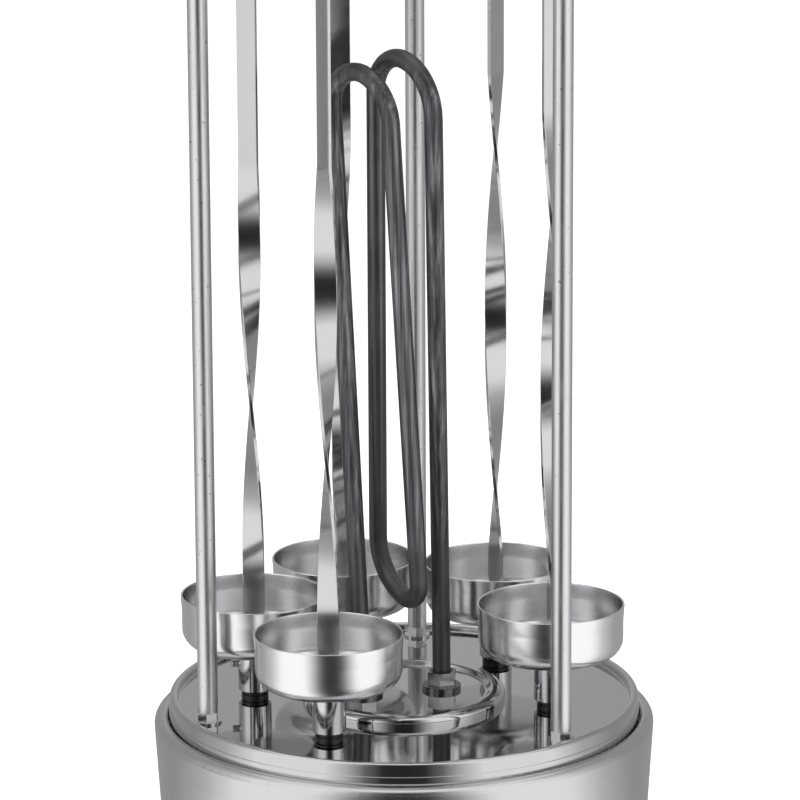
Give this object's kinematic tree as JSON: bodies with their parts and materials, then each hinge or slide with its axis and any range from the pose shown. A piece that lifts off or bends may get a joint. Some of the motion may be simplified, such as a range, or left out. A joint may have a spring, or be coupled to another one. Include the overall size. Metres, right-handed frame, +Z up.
{
  "type": "electric skewer grill",
  "caption": "Upright electric grill: twisted skewers turn over drip cups round a bent tube heater, on a round polished base with slender posts and a top disc.",
  "frame": {"origin": "on the table under the middle of the round base", "axes": "+Z up, -Y into the wide gap between the first and the last skewer station"},
  "size_m": [0.22, 0.22, 0.4695],
  "materials": {
    "satin_steel": "satin",
    "mirror_steel": "polished stainless steel",
    "cup_steel": "fine turned satin",
    "bright_rod": "bright drawn",
    "zinc_steel": "zinc plated",
    "heater_steel": "dark oxidised, matt",
    "black_plastic": "heat-proof moulded",
    "black_gloss": "moulded",
    "black_rubber": "moulded",
    "gear_nylon": "natural nylon",
    "bronze": "sintered",
    "ceramic": "glazed",
    "motor_paint": "plated can"
  },
  "bodies": {
    "base": {"base_shell": "satin_steel", "bottom_cover": "zinc_steel", "rubber_feet": "black_rubber", "foot_screws": "zinc_steel", "deck_plate": "mirror_steel", "heater_boss": "mirror_steel", "posts": "bright_rod", "post_foot_nuts": "bright_rod", "spacer_tubes": "zinc_steel", "tie_nuts": "zinc_steel", "cap_nuts": "bright_rod", "top_disc": "satin_steel", "top_bushes": "bright_rod", "neck_bushes": "black_plastic", "lower_bushes": "bronze", "carrier_plate": "zinc_steel", "heater_element": "heater_steel", "heater_washers": "zinc_steel", "heater_nuts": "zinc_steel", "heater_lock_nuts": "zinc_steel", "heater_insulators": "ceramic", "heater_terminals": "zinc_steel", "motor_body": "motor_paint", "motor_screws": "zinc_steel", "cord_grommet": "black_rubber", "switch_frame": "black_gloss", "terminal_block": "ceramic"},
    "motor_rotor": {"motor_shaft": "zinc_steel", "motor_pinion": "zinc_steel"},
    "power_rocker": {"switch_rocker": "black_gloss"},
    "station_1": {"gear_1": "gear_nylon", "spindle_1": "zinc_steel", "sleeve_1": "bright_rod", "cup_1": "cup_steel", "side_screw_1": "bright_rod"},
    "skewer_1": {"skewer_1": "mirror_steel"},
    "station_2": {"gear_2": "gear_nylon", "spindle_2": "zinc_steel", "sleeve_2": "bright_rod", "cup_2": "cup_steel", "side_screw_2": "bright_rod"},
    "skewer_2": {"skewer_2": "mirror_steel"},
    "station_3": {"gear_3": "gear_nylon", "spindle_3": "zinc_steel", "sleeve_3": "bright_rod", "cup_3": "cup_steel", "side_screw_3": "bright_rod"},
    "skewer_3": {"skewer_3": "mirror_steel"},
    "station_4": {"gear_4": "gear_nylon", "spindle_4": "zinc_steel", "sleeve_4": "bright_rod", "cup_4": "cup_steel", "side_screw_4": "bright_rod"},
    "skewer_4": {"skewer_4": "mirror_steel"},
    "station_5": {"gear_5": "gear_nylon", "spindle_5": "zinc_steel", "sleeve_5": "bright_rod", "cup_5": "cup_steel", "side_screw_5": "bright_rod"},
    "skewer_5": {"skewer_5": "mirror_steel"}
  },
  "joints": [
    {"name": "motor_spin", "type": "hinge", "parent": "base", "child": "motor_rotor", "pos_m": [-0.012, -0.06725, 0.074], "axis": [0, 0, 1], "continuous": true},
    {"name": "rocker_tilt", "type": "hinge", "parent": "base", "child": "power_rocker", "pos_m": [0, -0.105, 0.042], "axis": [1, 0, 0], "range_deg": [0, 20]},
    {"name": "station_1_spin", "type": "hinge", "parent": "base", "child": "station_1", "pos_m": [0.05279, -0.0392, 0.074], "axis": [0, 0, 1], "continuous": true},
    {"name": "skewer_1_lift", "type": "slide", "parent": "station_1", "child": "skewer_1", "axis": [0, 0, 1], "range_m": [0, 0.03]},
    {"name": "station_2_spin", "type": "hinge", "parent": "base", "child": "station_2", "pos_m": [0.05874, 0.02954, 0.074], "axis": [0, 0, 1], "continuous": true},
    {"name": "skewer_2_lift", "type": "slide", "parent": "station_2", "child": "skewer_2", "axis": [0, 0, 1], "range_m": [0, 0.03]},
    {"name": "station_3_spin", "type": "hinge", "parent": "base", "child": "station_3", "pos_m": [0, 0.06575, 0.074], "axis": [0, 0, 1], "continuous": true},
    {"name": "skewer_3_lift", "type": "slide", "parent": "station_3", "child": "skewer_3", "axis": [0, 0, 1], "range_m": [0, 0.03]},
    {"name": "station_4_spin", "type": "hinge", "parent": "base", "child": "station_4", "pos_m": [-0.05874, 0.02954, 0.074], "axis": [0, 0, 1], "continuous": true},
    {"name": "skewer_4_lift", "type": "slide", "parent": "station_4", "child": "skewer_4", "axis": [0, 0, 1], "range_m": [0, 0.03]},
    {"name": "station_5_spin", "type": "hinge", "parent": "base", "child": "station_5", "pos_m": [-0.05279, -0.0392, 0.074], "axis": [0, 0, 1], "continuous": true},
    {"name": "skewer_5_lift", "type": "slide", "parent": "station_5", "child": "skewer_5", "axis": [0, 0, 1], "range_m": [0, 0.03]}
  ],
  "couplings": [
    {"joint": "station_2_spin", "follows": "station_1_spin", "ratio": -1},
    {"joint": "station_3_spin", "follows": "station_1_spin", "ratio": 1},
    {"joint": "station_4_spin", "follows": "station_1_spin", "ratio": -1},
    {"joint": "station_5_spin", "follows": "station_1_spin", "ratio": 1},
    {"joint": "motor_spin", "follows": "station_1_spin", "ratio": -2.3}
  ]
}
